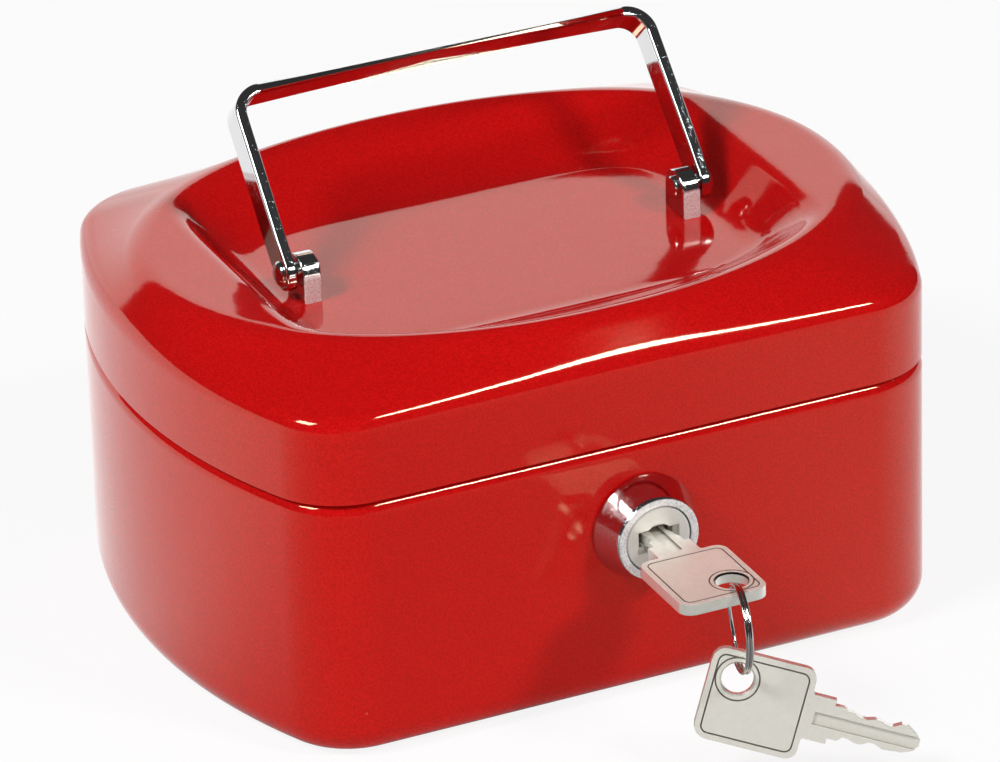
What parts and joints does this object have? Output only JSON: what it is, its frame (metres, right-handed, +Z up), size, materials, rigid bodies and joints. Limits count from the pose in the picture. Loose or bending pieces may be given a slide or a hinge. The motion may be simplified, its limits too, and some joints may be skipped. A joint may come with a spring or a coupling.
{
  "type": "cash box",
  "caption": "Small steel cash box with bowed ends, recessed lid, folding chrome handle, wafer cam lock with two keys on a split ring, and a lift-out coin tray.",
  "frame": {"origin": "middle of the base's underside, on the surface that the box stands on", "axes": "+X right along the front, +Y towards the hinges, -Y is the front with the lock, +Z up"},
  "size_m": [0.152, 0.1711, 0.1025],
  "materials": {
    "red_lacquer": "gloss lacquer",
    "steel_pin": "satin",
    "chrome": "polished",
    "zinc_steel": "zinc plated",
    "nickel_plug": "nickel plated",
    "brass_wafer": "plain",
    "nickel_silver": "nickel silver",
    "steel_ring": "nickel plated",
    "black_plastic": "fine texture"
  },
  "bodies": {
    "base": {"base_shell": "red_lacquer", "left_hinge_base_leaf": "red_lacquer", "right_hinge_base_leaf": "red_lacquer", "left_hinge_pin": "steel_pin", "right_hinge_pin": "steel_pin", "lock_housing": "chrome", "lock_nut": "zinc_steel"},
    "lid": {"lid_shell": "red_lacquer", "left_hinge_lid_leaf": "red_lacquer", "right_hinge_lid_leaf": "red_lacquer", "left_handle_post": "chrome", "right_handle_post": "chrome", "left_handle_rivet": "chrome", "right_handle_rivet": "chrome", "left_post_washer": "zinc_steel", "right_post_washer": "zinc_steel", "lid_catch": "red_lacquer"},
    "handle": {"handle": "chrome"},
    "lock_plug": {"lock_plug": "nickel_plug", "lock_wafer_1": "brass_wafer", "lock_wafer_2": "brass_wafer", "lock_wafer_3": "brass_wafer", "lock_wafer_4": "brass_wafer", "lock_cam": "zinc_steel", "lock_cam_screw": "zinc_steel"},
    "key": {"key_in_lock": "nickel_silver"},
    "ring": {"key_ring": "steel_ring"},
    "spare_key": {"spare_key": "nickel_silver"},
    "tray": {"coin_tray": "black_plastic"}
  },
  "joints": [
    {"name": "lid_hinge", "type": "hinge", "parent": "base", "child": "lid", "pos_m": [0, 0.05975, 0.0532], "axis": [-1, 0, 0], "range_deg": [0, 105]},
    {"name": "handle_swing", "type": "hinge", "parent": "lid", "child": "handle", "pos_m": [0, 0, 0.0733], "axis": [1, 0, 0], "range_deg": [-36, 121]},
    {"name": "key_turn", "type": "hinge", "parent": "base", "child": "lock_plug", "pos_m": [0.0022, -0.06, 0.0353], "axis": [0, 1, 0], "range_deg": [0, 90]},
    {"name": "key_pull", "type": "slide", "parent": "lock_plug", "child": "key", "axis": [0, -1, 0], "range_m": [-0.003, 0.024]},
    {"name": "ring_turn", "type": "hinge", "parent": "key", "child": "ring", "pos_m": [0.00465, -0.09245, 0.02918], "axis": [0.9728, -0.2317, 0], "range_deg": [-20, 20]},
    {"name": "spare_key_swing", "type": "hinge", "parent": "ring", "child": "spare_key", "pos_m": [0.00405, -0.09245, 0.01921], "axis": [-0.401, -0.888, 0.225], "range_deg": [0, 60]},
    {"name": "tray_lift", "type": "slide", "parent": "base", "child": "tray", "axis": [0, 0, 1], "range_m": [0, 0.003]}
  ]
}
